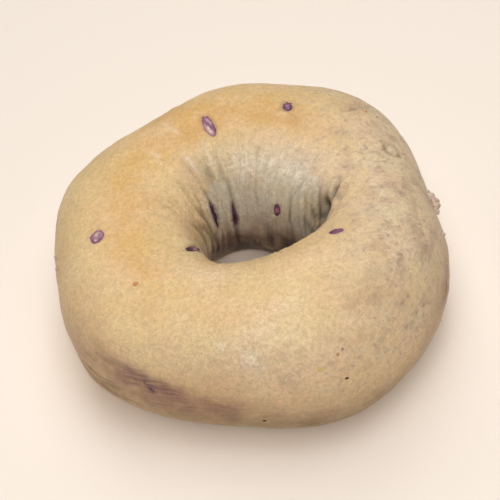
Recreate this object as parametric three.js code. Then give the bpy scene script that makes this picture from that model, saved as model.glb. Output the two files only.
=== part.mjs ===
// A blueberry bagel: one baked ring of dough, domed on top, with a hole that narrows like a funnel and
// a flat underside where the dough lay in the oven.
// Millimetres, +Z up. The origin is the middle of the underside's plane, under the ring's own middle.
import * as THREE from "three";
import { ParametricGeometry } from "three/addons/geometries/ParametricGeometry.js";

// Driving dimensions.
const OUTER_RADIUS = 56; // of the ring, at its widest line
const HOLE_RADIUS = 12.9; // of the hole, at its narrowest line
const CROWN_HEIGHT = 44.6; // of the ring's top above the underside
const HOLE_OFF_CENTRE = -1.1; // how far the hole lies from the ring's middle, along Y

// The section through the ring is a superellipse, boxier above its widest line than below it, and cut
// off flat by the surface that it was baked on.
const TOP_BOXINESS = 2.47; // 2 is an ellipse
const UNDER_BOXINESS = 2.01;
const WIDEST_LINE = 0.41; // its height, as a share of the crown's
const UNDER_DEPTH = 1.13; // how far down the round would reach without the flat, over what is there

// Hand-rolled dough is never a true circle. Each wave adds swell, with that many lobes round the ring
// and a lobe's crest at that many degrees from +X.
const OUTLINE_WAVES = [
  { lobes: 2, swell: 0.7, crest: 18 },
  { lobes: 3, swell: 2.05, crest: 58.5 },
  { lobes: 4, swell: 0.95, crest: 45 },
  { lobes: 5, swell: 0.45, crest: 3 },
  { lobes: 6, swell: 1.0, crest: 38.5 },
  { lobes: 7, swell: 0.4, crest: -8 },
];
const HOLE_WAVES = [
  { lobes: 2, swell: 1.8, crest: 156 },
  { lobes: 3, swell: 0.4, crest: 108 },
];
const CROWN_WAVES = [
  { lobes: 1, swell: 0.75, crest: 13 },
  { lobes: 2, swell: 1.95, crest: 110 },
  { lobes: 3, swell: 0.95, crest: 64 },
];
const WIDEST_LINE_WAVES = [{ lobes: 1, swell: 0.045, crest: -168 }];

// How finely the ring is faceted.
const STATIONS = 84; // round the ring
const SECTION_STEPS = 40; // round its section

/** What the waves add at an angle round the ring, in radians. */
function swellAt(waves, angle) {
  return waves.reduce(
    (sum, { lobes, swell, crest }) =>
      sum + swell * Math.cos(lobes * (angle - THREE.MathUtils.degToRad(crest))),
    0,
  );
}

/** A superellipse's coordinate for the sine or cosine of its parameter. */
function boxy(value, boxiness) {
  return Math.sign(value) * Math.abs(value) ** (2 / boxiness);
}

/** The point of the crust at an angle round the ring and an angle round its section, 0 at the outside. */
function crustPoint(angle, turn, point) {
  const outer = OUTER_RADIUS + swellAt(OUTLINE_WAVES, angle);
  const inner =
    HOLE_RADIUS + HOLE_OFF_CENTRE * Math.sin(angle) + swellAt(HOLE_WAVES, angle);
  const crown = CROWN_HEIGHT + swellAt(CROWN_WAVES, angle);
  const widest = crown * (WIDEST_LINE + swellAt(WIDEST_LINE_WAVES, angle));

  const above = Math.sin(turn) >= 0;
  const boxiness = above ? TOP_BOXINESS : UNDER_BOXINESS;
  const across = boxy(Math.cos(turn), boxiness);
  const up = boxy(Math.sin(turn), boxiness);

  const radius = (outer + inner) / 2 + (across * (outer - inner)) / 2;
  const height = above
    ? widest + (crown - widest) * up
    : Math.max(0, widest * (1 + UNDER_DEPTH * up));
  return point.set(radius * Math.cos(angle), radius * Math.sin(angle), height);
}

/** The crust of the whole ring, as one closed surface over the middle of its own outline. */
function crustGeometry() {
  const geometry = new ParametricGeometry(
    (round, over, point) =>
      crustPoint(round * 2 * Math.PI, over * 2 * Math.PI, point),
    STATIONS,
    SECTION_STEPS,
  );
  geometry.computeBoundingBox();
  const middle = geometry.boundingBox.getCenter(new THREE.Vector3());
  return geometry.translate(-middle.x, -middle.y, -geometry.boundingBox.min.z);
}

const crust = new THREE.MeshStandardMaterial({
  color: new THREE.Color(0.72, 0.54, 0.31),
  roughness: 0.55,
  metalness: 0,
});

const bagel = new THREE.Mesh(crustGeometry(), crust);
bagel.name = "bagel";

const part = new THREE.Group();
part.add(bagel);

export default part;
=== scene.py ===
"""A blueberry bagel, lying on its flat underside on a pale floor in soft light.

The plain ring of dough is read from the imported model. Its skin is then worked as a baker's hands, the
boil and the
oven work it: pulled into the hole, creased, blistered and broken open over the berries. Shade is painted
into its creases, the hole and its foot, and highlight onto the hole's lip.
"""

import logging
import math
from dataclasses import dataclass, field
from enum import Enum
from itertools import product

import bpy
import numpy as np
from mathutils import Matrix, Vector
from mathutils.bvhtree import BVHTree


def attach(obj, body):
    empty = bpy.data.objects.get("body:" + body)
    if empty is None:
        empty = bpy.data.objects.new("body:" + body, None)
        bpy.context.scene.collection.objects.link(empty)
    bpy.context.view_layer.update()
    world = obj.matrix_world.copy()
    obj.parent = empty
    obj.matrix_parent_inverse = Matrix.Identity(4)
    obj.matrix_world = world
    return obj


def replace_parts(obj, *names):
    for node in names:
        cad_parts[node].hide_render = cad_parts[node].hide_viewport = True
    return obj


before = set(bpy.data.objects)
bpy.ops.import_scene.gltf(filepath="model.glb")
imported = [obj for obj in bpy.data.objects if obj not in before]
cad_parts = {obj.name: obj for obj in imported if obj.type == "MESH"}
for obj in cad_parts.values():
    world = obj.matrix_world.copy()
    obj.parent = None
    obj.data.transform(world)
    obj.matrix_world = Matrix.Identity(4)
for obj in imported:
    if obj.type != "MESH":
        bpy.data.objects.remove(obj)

LOG = logging.getLogger("bagel")
UNDERSIDE = 270.0  # the turn round the section that faces down
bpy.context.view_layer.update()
MM = 0.001  # metres in a millimetre; the classes below hold millimetres and degrees
MIDDLE = (0.3, 0.7)  # the range that most values of a noise lie in
CORE = (0.35, 0.65)  # a narrower range of them, for a harder change
FULL = (0.0, 1.0)
Colour = tuple[float, float, float]
Faces = list[tuple[int, ...]]
Triple = tuple[np.ndarray, np.ndarray, np.ndarray]
Range = tuple[float, float]
Spot = tuple[float, float]  # an angle round the ring and a turn round its section, in degrees


# ---------------------------------------------------------------------------------------------------
# Small mathematics
# ---------------------------------------------------------------------------------------------------


def ease(low: float, high: float, value: np.ndarray) -> np.ndarray:
    """A soft step from 0 at low to 1 at high.

    Args:
        low: the value at which the step starts; it may be the greater of the two.
        high: the value at which it is done.
        value: the values to step.

    Returns:
        A share from 0 to 1 for each value.
    """
    share = np.clip((value - low) / (high - low), 0.0, 1.0)
    return share * share * (3.0 - 2.0 * share)


def turned(value: np.ndarray, centre: float) -> np.ndarray:
    """How far angles in degrees lie from a centre, the short way round."""
    return (value - centre + 180.0) % 360.0 - 180.0


def hill(value: np.ndarray, centre: float, spread: float) -> np.ndarray:
    """A soft hump of height 1 at a centre angle, in degrees."""
    return np.exp(-((turned(value, centre) / spread) ** 2))


class Grain:
    """Smooth random bumps in space, the same on every run."""

    entries = 256
    height = 1.6

    def __init__(self, seed: int) -> None:
        """Draws the table of slopes.

        Args:
            seed: which of the endless patterns this is.
        """
        rng = np.random.default_rng(seed)
        self.order = np.tile(rng.permutation(self.entries), 2)
        slopes = rng.normal(size=(self.entries, 3))
        self.slopes = slopes / np.linalg.norm(slopes, axis=1, keepdims=True)

    def at(self, place: np.ndarray, size: float = 1.0) -> np.ndarray:
        """The bumps' height at places in space.

        Args:
            place: points, with their three coordinates along the last axis.
            size: how far apart bumps lie, in the points' own unit.

        Returns:
            Heights of about -1 to 1, one for each point.
        """
        spot = place / size
        cell = np.floor(spot).astype(int)
        part = spot - cell
        soft = part**3 * (part * (part * 6.0 - 15.0) + 10.0)
        total = np.zeros(place.shape[:-1])
        for corner in product((0, 1), repeat=3):
            index = (cell + corner) % self.entries
            key = self.order[self.order[index[..., 0]] + index[..., 1]]
            slope = self.slopes[self.order[key + index[..., 2]]]
            weight = np.prod(np.where(corner, soft, 1.0 - soft), axis=-1)
            total += weight * np.sum(slope * (part - corner), axis=-1)
        return total * self.height


# ---------------------------------------------------------------------------------------------------
# The plain ring of dough
# ---------------------------------------------------------------------------------------------------


@dataclass
class DoughRing:
    """The plain ring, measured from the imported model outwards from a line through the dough's middle.

    Its facets are smoothed away by keeping only the slow waves of the measured reach.
    """

    node: str = "bagel"
    core_radius: float = 34.4
    core_height: float = 20.0
    stations: int = 440
    turns: int = 224
    ring_waves: float = 24.0
    section_waves: float = 19.0
    slope_step: float = 0.02  # how far to either side a direction is felt for, in radians
    reach: np.ndarray = field(init=False)

    def __post_init__(self) -> None:
        """Measures the reach as soon as the sizes are known."""
        self.reach = self.smoothed(self.measured())

    def angles(self) -> np.ndarray:
        """The stations' angles round the ring, in radians, as a column."""
        return np.linspace(0.0, 2.0 * np.pi, self.stations, endpoint=False)[:, None]

    def section_turns(self) -> np.ndarray:
        """The turns round the section, in radians, as a row: 0 outside, a quarter turn on top."""
        return np.linspace(0.0, 2.0 * np.pi, self.turns, endpoint=False)[None, :]

    def measured(self) -> np.ndarray:
        """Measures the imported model's skin.

        Returns:
            How far it is from the dough's middle line, in mm, at every grid point.
        """
        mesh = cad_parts[self.node].data
        corners = [v.co / MM for v in mesh.vertices]
        tree = BVHTree.FromPolygons(corners, [tuple(p.vertices) for p in mesh.polygons])
        reach = np.zeros((self.stations, self.turns))
        for s, angle in enumerate(self.angles()[:, 0]):
            out = Vector((math.cos(angle), math.sin(angle), 0.0))
            start = out * self.core_radius + Vector((0.0, 0.0, self.core_height))
            for t, turn in enumerate(self.section_turns()[0]):
                way = out * math.cos(turn) + Vector((0.0, 0.0, math.sin(turn)))
                reach[s, t] = tree.ray_cast(start, way)[3]
        return reach

    def smoothed(self, reach: np.ndarray) -> np.ndarray:
        """Takes the quick waves, which are the facets, out of the reach.

        Args:
            reach: the measured reach at every grid point.

        Returns:
            The smooth reach at every grid point.
        """
        waves = np.fft.fft2(reach)
        ring = np.fft.fftfreq(self.stations, 1.0 / self.stations)[:, None]
        section = np.fft.fftfreq(self.turns, 1.0 / self.turns)[None, :]
        keep = np.exp(-((ring / self.ring_waves) ** 2 + (section / self.section_waves) ** 2) / 2.0)
        return np.real(np.fft.ifft2(waves * keep))

    def reach_at(self, angle: np.ndarray, turn: np.ndarray) -> np.ndarray:
        """The reach between the grid's points.

        Args:
            angle: angles round the ring, in radians.
            turn: turns round the section, in radians.

        Returns:
            The reach at each of them, in mm.
        """
        s = np.asarray(angle) / (2.0 * np.pi) * self.stations
        t = np.asarray(turn) / (2.0 * np.pi) * self.turns
        s0, t0 = np.floor(s).astype(int), np.floor(t).astype(int)
        ds, dt = s - s0, t - t0
        total = 0.0
        for i, j in product((0, 1), repeat=2):
            share = (ds if i else 1.0 - ds) * (dt if j else 1.0 - dt)
            total = total + share * self.reach[(s0 + i) % self.stations, (t0 + j) % self.turns]
        return total

    def place(self, angle: np.ndarray, turn: np.ndarray) -> np.ndarray:
        """Points of the plain skin.

        Args:
            angle: angles round the ring, in radians.
            turn: turns round the section, in radians.

        Returns:
            The points, in mm, with their three coordinates along the last axis.
        """
        reach = self.reach_at(angle, turn)
        radius = self.core_radius + reach * np.cos(turn)
        height = self.core_height + reach * np.sin(turn)
        return np.stack([radius * np.cos(angle), radius * np.sin(angle), height], axis=-1)

    def tangents(self, angle: np.ndarray, turn: np.ndarray) -> Triple:
        """The skin's own directions at points of it.

        Args:
            angle: angles round the ring, in radians.
            turn: turns round the section, in radians.

        Returns:
            The directions round the ring, round the section and outwards, each of length 1.
        """
        step = self.slope_step
        ring = self.place(angle + step, turn) - self.place(angle - step, turn)
        section = self.place(angle, turn + step) - self.place(angle, turn - step)
        outward = np.cross(ring, section)
        return tuple(v / np.linalg.norm(v, axis=-1, keepdims=True) for v in (ring, section, outward))


# ---------------------------------------------------------------------------------------------------
# What is on the skin
# ---------------------------------------------------------------------------------------------------


class Outline(Enum):
    """How ragged a berry's edge is where the skin has opened or thinned over it."""

    EVEN = 0.07
    TORN = 0.2
    FRAYED = 0.34


@dataclass(frozen=True)
class Mark:
    """A patch of another tone on a berry.

    Its place and its size are shares of the berry's half width and half length.
    """

    across: float
    along: float
    wide: float
    long: float
    tone: float


@dataclass(frozen=True)
class Berry:
    """One blueberry at the skin, by its place, its size across, and the slant of its long side.

    Its tone runs from 0, bare and inky, through wine and mauve to 1: lilac under a veil of dough, partly
    painted highlight.
    """

    name: str
    spot: Spot
    length: float
    width: float
    slant: float
    tone: float
    edge_tone: float
    marks: tuple[Mark, ...] = ()
    outline: Outline = Outline.EVEN
    sink: float = 0.3
    bleed: float = 0.5


@dataclass(frozen=True)
class Fold:
    """A crease in the skin along a few spots, with painted shade along its groove."""

    path: tuple[Spot, ...]
    width: float
    depth: float
    lip: float = 0.0
    shade: float = 0.35


@dataclass(frozen=True)
class Blister:
    """A raised or sunken bubble of skin, with a crease round it if it has a rim; the crease has painted
    shade, and the pale spot on top is partly painted highlight.
    """

    spot: Spot
    radius: float
    rise: float
    rim: float = 0.0
    bloom_and_highlight: float = 0.0


@dataclass(frozen=True)
class Tint:
    """A soft patch of one of the skin's colours, by its place and its spread both ways, in degrees."""

    spot: Spot
    ring_spread: float
    section_spread: float
    amount: float


BERRIES = (
    Berry(
        "berry_top_torn", (100.9, 100.3), 8.3, 3.2, 93.0, 0.84, 0.4,
        (
            Mark(0.5, -0.8, 0.3, 0.25, 0.35), Mark(0.3, -0.5, 0.28, 0.26, 0.38),
            Mark(0.08, -0.2, 0.28, 0.24, 0.33), Mark(-0.2, 0.08, 0.26, 0.22, 0.3),
            Mark(-0.45, 0.32, 0.24, 0.2, 0.3), Mark(-0.82, 0.15, 0.22, 0.45, 0.2),
            Mark(-0.68, 0.55, 0.26, 0.25, 0.26), Mark(0.2, 0.3, 0.18, 0.4, 1.0),
            Mark(0.92, -0.1, 0.1, 0.6, 0.4),
        ),
        Outline.TORN, 0.5, 0.3,
    ),
    Berry(
        "berry_top_small", (61.4, 85.6), 3.7, 2.9, 112.0, 0.34, 0.16,
        (
            Mark(0.1, -0.1, 0.28, 0.3, 0.72), Mark(-0.35, -0.35, 0.2, 0.2, 0.6),
            Mark(-0.6, 0.5, 0.35, 0.4, 0.12), Mark(0.45, 0.15, 0.2, 0.2, 0.1),
            Mark(-0.15, 0.35, 0.2, 0.2, 0.66),
        ),
        Outline.TORN, 0.3, 0.35,
    ),
    Berry(
        "berry_left_oval", (-175.4, 74.6), 4.5, 3.9, -39.0, 0.66, 0.42,
        (
            Mark(0.2, -0.25, 0.3, 0.4, 0.9), Mark(-0.45, 0.35, 0.35, 0.35, 0.62),
            Mark(-0.75, 0.45, 0.3, 0.5, 0.24), Mark(-0.3, 0.85, 0.5, 0.22, 0.22),
            Mark(0.35, 0.8, 0.35, 0.2, 0.34), Mark(-0.15, 0.55, 0.2, 0.2, 0.92),
        ),
        Outline.EVEN, 0.25, 0.2,
    ),
    Berry(
        "berry_hole_slit", (-157.5, 143.0), 10.6, 2.3, 112.0, 0.3, 0.05,
        (
            Mark(0.0, 0.0, 0.45, 0.3, 0.95), Mark(0.1, 0.45, 0.4, 0.2, 0.6),
            Mark(0.0, -0.72, 0.9, 0.34, 0.02),
        ),
        Outline.TORN, 0.45, 0.15,
    ),
    Berry(
        "berry_hole_streak", (126.2, 159.5), 9.6, 1.15, 90.0, 0.13, 0.08,
        (
            Mark(0.3, -0.35, 0.7, 0.2, 0.0), Mark(-0.2, 0.1, 0.5, 0.15, 0.24),
            Mark(-0.2, 0.75, 0.6, 0.2, 0.0),
        ),
        Outline.FRAYED, 0.4, 0.55,
    ),
    Berry(
        "berry_hole_smear", (101.5, 166.5), 8.0, 1.1, 88.0, 0.16, 0.18,
        (Mark(0.1, 0.3, 0.7, 0.3, 0.02), Mark(-0.3, -0.3, 0.5, 0.3, 0.3)),
        Outline.FRAYED, 0.3, 0.8,
    ),
    Berry(
        "berry_hole_oval", (41.0, 158.0), 4.3, 2.1, 92.0, 0.46, 0.3,
        (
            Mark(0.0, -0.62, 0.7, 0.26, 0.2), Mark(0.0, 0.68, 0.75, 0.32, 0.1),
            Mark(0.1, 0.0, 0.4, 0.3, 0.62),
        ),
        Outline.EVEN, 0.25, 0.25,
    ),
    Berry(
        "berry_crest_leaf", (-36.8, 100.2), 4.1, 2.4, -53.0, 0.36, 0.34,
        (Mark(0.0, 0.4, 0.4, 0.3, 0.5), Mark(0.1, -0.5, 0.4, 0.3, 0.24)),
        Outline.EVEN, 0.25, 0.15,
    ),
    Berry(
        "berry_side_small", (-125.8, 9.6), 2.3, 0.8, -47.0, 0.1, 0.15,
        (), Outline.TORN, 0.15, 0.7,
    ),
    Berry(
        "berry_back_oval", (74.0, 10.0), 6.4, 4.4, 20.0, 0.8, 0.4,
        (
            Mark(-0.4, 0.3, 0.4, 0.5, 0.35), Mark(0.3, -0.3, 0.3, 0.3, 0.95),
            Mark(-0.8, -0.3, 0.3, 0.5, 0.15),
        ),
        Outline.TORN, 0.45, 0.5,
    ),
    Berry(
        "berry_back_round", (128.0, 36.0), 5.0, 4.3, 60.0, 0.7, 0.45,
        (Mark(-0.6, 0.4, 0.4, 0.4, 0.3), Mark(0.3, 0.0, 0.3, 0.4, 0.9)), Outline.EVEN, 0.3, 0.4,
    ),
    Berry(
        "berry_right_side", (14.0, -4.0), 5.4, 2.7, 15.0, 0.38, 0.2,
        (Mark(0.2, -0.3, 0.4, 0.3, 0.8),), Outline.TORN, 0.35, 0.6,
    ),
    Berry(
        "berry_under_wide", (-62.0, -74.0), 6.0, 4.6, 30.0, 0.6, 0.3,
        (Mark(-0.3, 0.2, 0.5, 0.4, 0.85), Mark(0.5, -0.5, 0.4, 0.4, 0.25)), Outline.TORN, 0.3, 0.7,
    ),
    Berry(
        "berry_under_small", (152.0, -84.0), 4.0, 3.0, 80.0, 0.5, 0.3,
        (), Outline.EVEN, 0.3, 0.6,
    ),
)

FOLDS = (
    # along the foot of the ring on the left, where the dough was tucked under
    Fold(((-157.0, -7.0), (-148.0, -5.0), (-143.0, -5.0), (-135.0, -2.0)), 0.9, 0.45, 0.2),
    Fold(((-153.0, -11.0), (-147.0, -9.5), (-140.0, -12.5), (-130.0, -16.0)), 1.0, 0.5, 0.2),
    Fold(((-151.0, 1.0), (-143.0, 1.0), (-136.0, 2.5)), 0.7, 0.25, 0.15),
    Fold(((-141.5, 26.0), (-134.5, 24.0), (-130.0, 17.0)), 1.2, 0.12, 0.06, 0.08),
    Fold(((-125.0, 21.5), (-120.0, 16.0), (-117.5, 11.0)), 1.0, 0.16, 0.06, 0.1),
    # down the hole on the left
    Fold(((127.0, 133.0), (126.0, 146.0), (126.5, 156.0), (125.5, 178.0)), 0.6, 0.45, 0.2),
    Fold(((101.0, 136.0), (101.0, 151.0), (102.0, 163.0), (102.0, 195.0)), 0.6, 0.45, 0.2),
    Fold(((115.0, 124.0), (114.0, 137.0)), 0.6, 0.34, 0.2, 0.16),
    Fold(((105.0, 129.0), (105.0, 141.0)), 0.6, 0.3, 0.2, 0.12),
    Fold(((162.0, 143.0), (155.0, 168.0), (152.0, 192.0)), 0.9, 0.5, 0.3),
    Fold(((152.0, 152.0), (142.0, 174.0), (140.0, 198.0)), 0.8, 0.5, 0.3),
    Fold(((144.0, 143.0), (139.0, 160.0), (135.0, 186.0)), 0.7, 0.5, 0.25),
    Fold(((133.0, 170.0), (130.0, 202.0)), 0.7, 0.6, 0.3),
    Fold(((112.0, 164.0), (114.0, 206.0)), 0.7, 0.5, 0.3, 0.14),
    Fold(((122.0, 176.0), (123.0, 206.0)), 0.6, 0.4, 0.3, 0.14),
    # the tuck at the hole's right-hand corner, and the pleats that run into it
    Fold(((10.0, 104.0), (5.0, 109.0), (0.0, 113.5), (-6.0, 117.0), (-12.0, 119.0)), 0.8, 1.1, 0.5, 0.5),
    Fold(((3.0, 119.0), (-4.0, 124.0), (-12.0, 126.5), (-24.0, 126.0)), 1.7, 1.9, 0.3, 0.5),
    Fold(((6.0, 100.5), (-2.0, 105.0), (-9.0, 109.5)), 0.6, 0.45, 0.3, 0.15),
    Fold(((16.0, 119.0), (8.0, 126.0), (-2.0, 134.0), (-12.0, 142.0)), 0.9, 0.55, 0.25, 0.25),
    Fold(((22.0, 130.0), (15.0, 140.0), (8.0, 152.0), (3.0, 164.0)), 0.6, 0.25, 0.15, 0.15),
    Fold(((31.0, 140.0), (27.0, 152.0), (24.0, 168.0)), 0.5, 0.25, 0.15),
    Fold(((-30.0, 120.0), (-44.0, 126.0), (-62.0, 132.0)), 1.6, 0.8, 0.2),
    # a short crease high on the right, the lip of the dimple below it, and a nick in the side
    Fold(((41.0, 69.0), (40.0, 63.0), (39.0, 57.0)), 0.7, 0.3, 0.15),
    Fold(((21.0, 61.5), (18.0, 63.5), (15.5, 61.5)), 0.6, 0.3, 0.1, 0.2),
    Fold(((-23.0, 8.0), (-27.0, 0.0)), 0.7, 0.5, 0.2),
)

BLISTERS = (
    # the hollow under the tuck
    Blister((-10.0, 136.0), 10.0, -1.6),
    Blister((-26.0, 132.0), 8.0, -1.0),
    # the bubbles that the boil raised
    Blister((-95.0, 48.0), 2.6, 0.28, 0.1, 0.75),
    Blister((-92.0, 42.0), 1.6, 0.14, 0.04, 0.5),
    Blister((17.6, 58.0), 2.4, 0.25, 1.0, 0.15),
    Blister((-104.0, 57.0), 1.5, 0.15, 0.05, 0.4),
    Blister((61.4, 93.5), 1.7, 0.16, 0.05, 0.35),
    Blister((-152.0, 62.0), 1.4, 0.14, 0.05, 0.1),
    Blister((-177.0, 35.0), 1.7, 0.5, 0.1, 0.1),
    Blister((-174.0, 27.0), 1.3, 0.35, 0.1, 0.1),
    Blister((110.0, 66.0), 3.0, 0.35, 0.1, 0.0),
    Blister((-120.0, 71.0), 2.0, 0.14, 0.05, 0.2),
    Blister((-63.0, 52.0), 1.8, 0.14, 0.05, 0.2),
    Blister((140.0, 78.0), 1.8, 0.16, 0.08, 0.1),
    Blister((82.0, 131.0), 1.2, 0.22, 0.05, 0.6),
    Blister((75.0, 134.0), 1.0, 0.2, 0.05, 0.5),
    Blister((92.0, 127.0), 1.0, 0.2, 0.05, 0.5),
    Blister((70.0, 40.0), 2.4, 0.25, 0.1, 0.1),
    Blister((30.0, 20.0), 1.7, 0.2, 0.1, 0.1),
    Blister((100.0, 12.0), 2.2, 0.22, 0.15, 0.1),
    Blister((160.0, 10.0), 1.9, 0.22, 0.1, 0.1),
)

# gold where the oven's heat caught the crest
TOASTED = (
    Tint((62.0, 94.0), 24.0, 14.0, 0.8),
    Tint((98.0, 94.0), 26.0, 15.0, 0.95),
    Tint((36.0, 92.0), 14.0, 12.0, 0.35),
    Tint((-96.0, 76.0), 18.0, 10.0, 0.42),
    Tint((-174.0, 80.0), 16.0, 12.0, 0.3),
    Tint((110.0, 74.0), 20.0, 14.0, 0.45),
    Tint((62.0, 74.0), 24.0, 12.0, 0.35),
    Tint((132.0, 94.0), 26.0, 17.0, 0.8),
    Tint((166.0, 96.0), 28.0, 18.0, 0.7),
    Tint((-164.0, 98.0), 26.0, 18.0, 0.6),
    Tint((-138.0, 98.0), 24.0, 16.0, 0.4),
    Tint((-132.0, 66.0), 14.0, 13.0, 0.3),
    Tint((-100.0, 98.0), 26.0, 11.0, 0.4),
)
# painted shade: darker in the creases, in the tuck, down the hole and along the front of the foot
SHADE_PATCHES = (
    Tint((-1.0, 109.5), 8.0, 4.0, 0.35),
    Tint((-84.0, -24.0), 30.0, 14.0, 0.25),
    Tint((1.0, 122.0), 7.0, 8.0, 0.35),
    Tint((-9.0, 127.0), 9.0, 9.0, 0.5),
    Tint((-3.0, 133.0), 8.0, 9.0, 0.25),
    Tint((-19.0, 126.0), 8.0, 7.0, 0.4),
    Tint((2.0, 142.0), 14.0, 14.0, 0.3),
    Tint((-2.0, 150.0), 18.0, 20.0, 0.35),
    Tint((20.0, 192.0), 40.0, 24.0, 0.5),
    Tint((76.0, 206.0), 50.0, 25.0, 0.8),
    Tint((118.0, 134.0), 10.0, 9.0, 0.18),
    Tint((145.0, 202.0), 30.0, 20.0, 0.25),
    Tint((-90.0, 200.0), 80.0, 30.0, 0.3),
)
# the deepest brown, on the highest points
EMBERS = (
    Tint((56.0, 97.0), 10.0, 4.0, 0.35),
    Tint((50.0, 92.0), 7.0, 3.0, 0.3),
    Tint((74.0, 98.0), 10.0, 3.0, 0.25),
    Tint((92.0, 93.0), 6.0, 6.0, 0.2),
    Tint((119.0, 70.0), 7.0, 7.0, 0.45),
    Tint((114.0, 99.0), 8.0, 6.0, 0.2),
)
# greyer, paler skin that the heat reached last
COOLED = (
    Tint((12.0, 72.0), 40.0, 36.0, 1.0),
    Tint((-28.0, 66.0), 24.0, 34.0, 0.6),
    Tint((10.0, 20.0), 50.0, 40.0, 0.8),
    Tint((-60.0, 24.0), 30.0, 26.0, 0.5),
    Tint((-96.0, 34.0), 28.0, 20.0, 0.35),
    Tint((30.0, 106.0), 16.0, 12.0, 0.4),
)
# grey, stretched skin inside the hole
WASHED = (
    Tint((62.0, 152.0), 42.0, 25.0, 1.0),
    Tint((108.0, 158.0), 26.0, 26.0, 1.0),
    Tint((14.0, 142.0), 30.0, 26.0, 1.0),
    Tint((40.0, 190.0), 60.0, 36.0, 1.0),
    Tint((130.0, 190.0), 50.0, 30.0, 0.6),
    Tint((-165.0, 172.0), 26.0, 20.0, 0.6),
    Tint((-90.0, 182.0), 70.0, 34.0, 0.9),
)
# brown where berry juice has soaked in from below; deep down the hole, in the tuck and low on the front it
# is painted shade
STAINS_AND_SHADE = (
    Tint((70.0, 204.0), 64.0, 27.0, 1.3),
    Tint((8.0, 198.0), 30.0, 24.0, 0.8),
    Tint((136.0, 186.0), 20.0, 24.0, 0.45),
    Tint((127.0, 121.0), 7.0, 6.0, 0.28),
    Tint((-10.0, 130.0), 14.0, 14.0, 0.6),
    Tint((-20.0, 12.0), 16.0, 10.0, 0.25),
    Tint((-130.0, 0.0), 30.0, 20.0, 0.2),
    Tint((-112.0, 8.0), 20.0, 16.0, 0.25),
    Tint((-146.0, 28.0), 14.0, 14.0, 0.18),
    Tint((-80.0, 2.0), 22.0, 12.0, 0.22),
    Tint((-140.0, 14.0), 16.0, 13.0, 0.36),
    Tint((-156.0, 8.0), 14.0, 18.0, 0.15),
    Tint((-12.0, 4.0), 16.0, 14.0, 0.35),
    Tint((-125.0, 13.0), 12.0, 13.0, 0.6),
    Tint((-112.0, -6.0), 18.0, 17.0, 0.56),
    Tint((-146.0, -14.0), 20.0, 12.0, 0.5),
    Tint((-70.0, -12.0), 30.0, 10.0, 0.4),
    Tint((-30.0, 4.0), 12.0, 12.0, 0.4),
    Tint((74.0, 8.0), 13.0, 12.0, 0.3),
    Tint((14.0, -8.0), 14.0, 12.0, 0.3),
    Tint((-62.0, -72.0), 14.0, 16.0, 0.5),
    Tint((150.0, -82.0), 12.0, 14.0, 0.4),
)
# inky where a berry lies just under the skin
JUICED = (
    Tint((40.0, 62.5), 2.4, 6.5, 0.4),
    Tint((-22.0, 58.0), 5.0, 6.0, 0.2),
    Tint((-28.0, 46.0), 4.0, 7.0, 0.24),
    Tint((-16.0, 44.0), 4.0, 4.0, 0.2),
    Tint((-38.0, 54.0), 3.5, 4.0, 0.18),
    Tint((-46.0, 66.0), 4.0, 3.5, 0.16),
    Tint((-20.0, 84.0), 5.0, 4.0, 0.16),
    Tint((8.0, 78.0), 6.0, 5.0, 0.16),
    Tint((30.0, 82.0), 5.0, 6.0, 0.12),
    Tint((-80.0, 119.0), 3.0, 4.0, 0.3),
    Tint((-58.0, 60.0), 3.2, 3.4, 0.4),
    Tint((-55.0, 64.0), 7.0, 8.0, 0.18),
    Tint((-52.0, 54.5), 2.4, 3.4, 0.4),
    Tint((-30.0, 78.0), 2.4, 3.0, 0.3),
    Tint((-38.0, 75.0), 3.2, 3.0, 0.3),
    Tint((-34.0, 72.0), 6.0, 5.0, 0.12),
    Tint((-7.0, 68.0), 2.6, 3.2, 0.5),
    Tint((-3.0, 62.0), 6.0, 5.0, 0.24),
    Tint((-12.0, 60.0), 4.0, 8.0, 0.18),
    Tint((2.0, 42.0), 8.0, 11.0, 0.22),
    Tint((-42.0, 42.0), 3.5, 4.5, 0.2),
    Tint((19.0, 55.0), 3.0, 3.5, 0.14),
    Tint((-20.0, 40.0), 10.0, 5.0, 0.12),
    Tint((-34.0, 30.0), 12.0, 6.0, 0.12),
    Tint((-46.0, 45.0), 5.0, 9.0, 0.1),
    Tint((24.0, 60.0), 6.0, 6.0, 0.14),
    Tint((40.0, 56.0), 3.0, 7.0, 0.16),
    Tint((-134.0, 26.0), 8.0, 5.0, 0.22),
    Tint((-129.0, 19.0), 5.0, 7.0, 0.75),
    Tint((-119.5, 9.0), 3.2, 4.5, 0.6),
    Tint((-124.0, 15.0), 5.0, 5.0, 0.45),
    Tint((-140.0, 4.0), 9.0, 6.0, 0.2),
    Tint((-84.0, 12.0), 4.0, 14.0, 0.08),
    Tint((101.5, 182.0), 3.0, 14.0, 0.4),
)
# pale, dry streaks and patches of flour, and painted highlight on the hole's upper lip and on the front
BLOOM_AND_HIGHLIGHT = (
    Tint((118.5, 85.0), 1.3, 4.0, 0.6),
    Tint((117.2, 91.0), 1.2, 4.0, 0.5),
    Tint((134.0, 97.0), 1.2, 4.0, 0.5),
    Tint((137.0, 104.0), 1.2, 4.0, 0.35),
    Tint((123.0, 116.0), 1.2, 5.0, 0.7),
    Tint((122.8, 122.5), 1.2, 4.0, 0.55),
    Tint((109.0, 119.0), 1.2, 5.0, 0.45),
    Tint((90.0, 126.0), 1.2, 5.0, 0.5),
    Tint((84.0, 130.0), 24.0, 9.0, 0.6),
    Tint((42.0, 126.0), 24.0, 10.0, 0.5),
    Tint((110.0, 168.0), 14.0, 14.0, 0.25),
    Tint((-92.0, 54.0), 24.0, 18.0, 0.3),
    Tint((-120.0, 108.0), 34.0, 14.0, 0.2),
    Tint((-84.0, 74.0), 12.0, 8.0, 0.3),
)


# ---------------------------------------------------------------------------------------------------
# Finishes
# ---------------------------------------------------------------------------------------------------


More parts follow.
